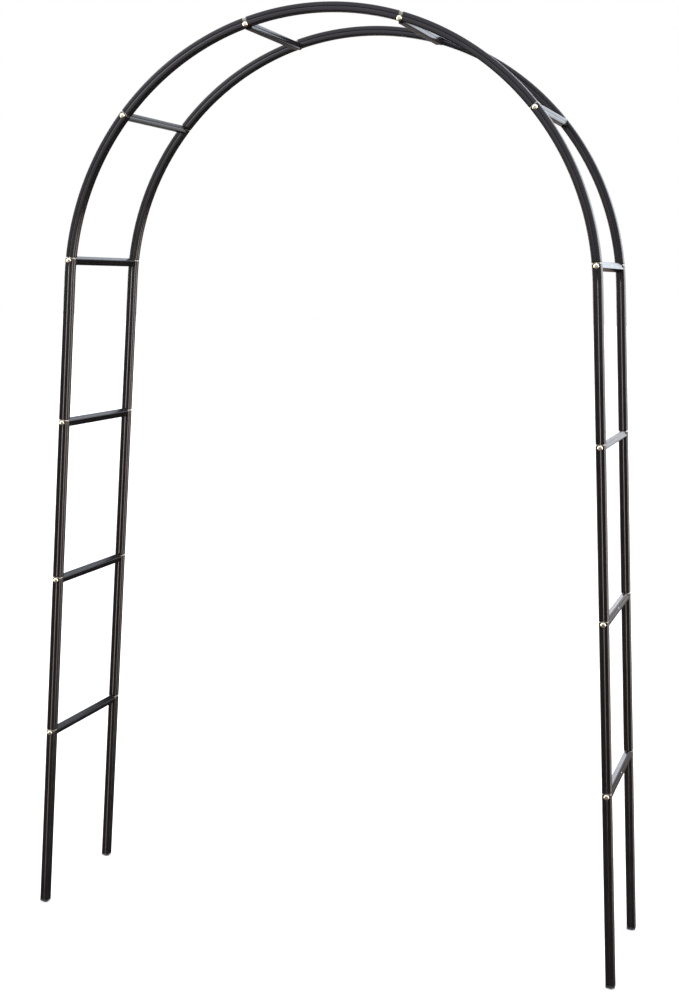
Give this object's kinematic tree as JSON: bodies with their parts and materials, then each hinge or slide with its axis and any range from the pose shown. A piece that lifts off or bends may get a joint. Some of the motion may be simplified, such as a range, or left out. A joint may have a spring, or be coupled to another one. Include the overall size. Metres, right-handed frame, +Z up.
{
  "type": "garden trellis arch",
  "caption": "Tall walk-through garden arch of grooved square steel tube, with ladder sides and crossbars over a round top, for climbing plants.",
  "frame": {"origin": "on the ground, in the middle of the four feet", "axes": "+Z up; +X to the right across the opening, seen from the front; -Y is the front, so people walk through along Y"},
  "size_m": [1.5986, 0.4052, 2.3992],
  "materials": {
    "black_paint": "satin black powder coat on thin steel tube",
    "yellow_zinc": "pale yellow zinc plate, as on the screws and the bare spigots",
    "black_plastic": "moulded black plastic"
  },
  "bodies": {
    "root": {"front_crown_tube": "black_paint", "front_left_arch_tube_1": "black_paint", "front_left_arch_tube_2": "black_paint", "front_left_foot_plug": "black_plastic", "front_left_leg_tube_1": "black_paint", "front_left_leg_tube_2": "black_paint", "front_left_leg_tube_3": "black_paint", "front_left_leg_tube_4": "black_paint", "front_left_screw_1": "yellow_zinc", "front_left_screw_2": "yellow_zinc", "front_left_screw_3": "yellow_zinc", "front_left_screw_4": "yellow_zinc", "front_right_arch_tube_1": "black_paint", "front_right_arch_tube_2": "black_paint", "front_right_foot_plug": "black_plastic", "front_right_leg_tube_1": "black_paint", "front_right_leg_tube_2": "black_paint", "front_right_leg_tube_3": "black_paint", "front_right_leg_tube_4": "black_paint", "front_right_screw_1": "yellow_zinc", "front_right_screw_2": "yellow_zinc", "front_right_screw_3": "yellow_zinc", "front_right_screw_4": "yellow_zinc", "left_arch_crossbar_1": "black_paint", "left_arch_crossbar_2": "black_paint", "left_rung_1": "black_paint", "left_rung_2": "black_paint", "left_rung_3": "black_paint", "left_rung_4": "black_paint", "rear_crown_tube": "black_paint", "rear_left_arch_tube_1": "black_paint", "rear_left_arch_tube_2": "black_paint", "rear_left_foot_plug": "black_plastic", "rear_left_leg_tube_1": "black_paint", "rear_left_leg_tube_2": "black_paint", "rear_left_leg_tube_3": "black_paint", "rear_left_leg_tube_4": "black_paint", "rear_left_screw_1": "yellow_zinc", "rear_left_screw_2": "yellow_zinc", "rear_left_screw_3": "yellow_zinc", "rear_left_screw_4": "yellow_zinc", "rear_right_arch_tube_1": "black_paint", "rear_right_arch_tube_2": "black_paint", "rear_right_foot_plug": "black_plastic", "rear_right_leg_tube_1": "black_paint", "rear_right_leg_tube_2": "black_paint", "rear_right_leg_tube_3": "black_paint", "rear_right_leg_tube_4": "black_paint", "rear_right_screw_1": "yellow_zinc", "rear_right_screw_2": "yellow_zinc", "rear_right_screw_3": "yellow_zinc", "rear_right_screw_4": "yellow_zinc", "right_arch_crossbar_1": "black_paint", "right_arch_crossbar_2": "black_paint", "right_rung_1": "black_paint", "right_rung_2": "black_paint", "right_rung_3": "black_paint", "right_rung_4": "black_paint"}
  },
  "joints": []
}
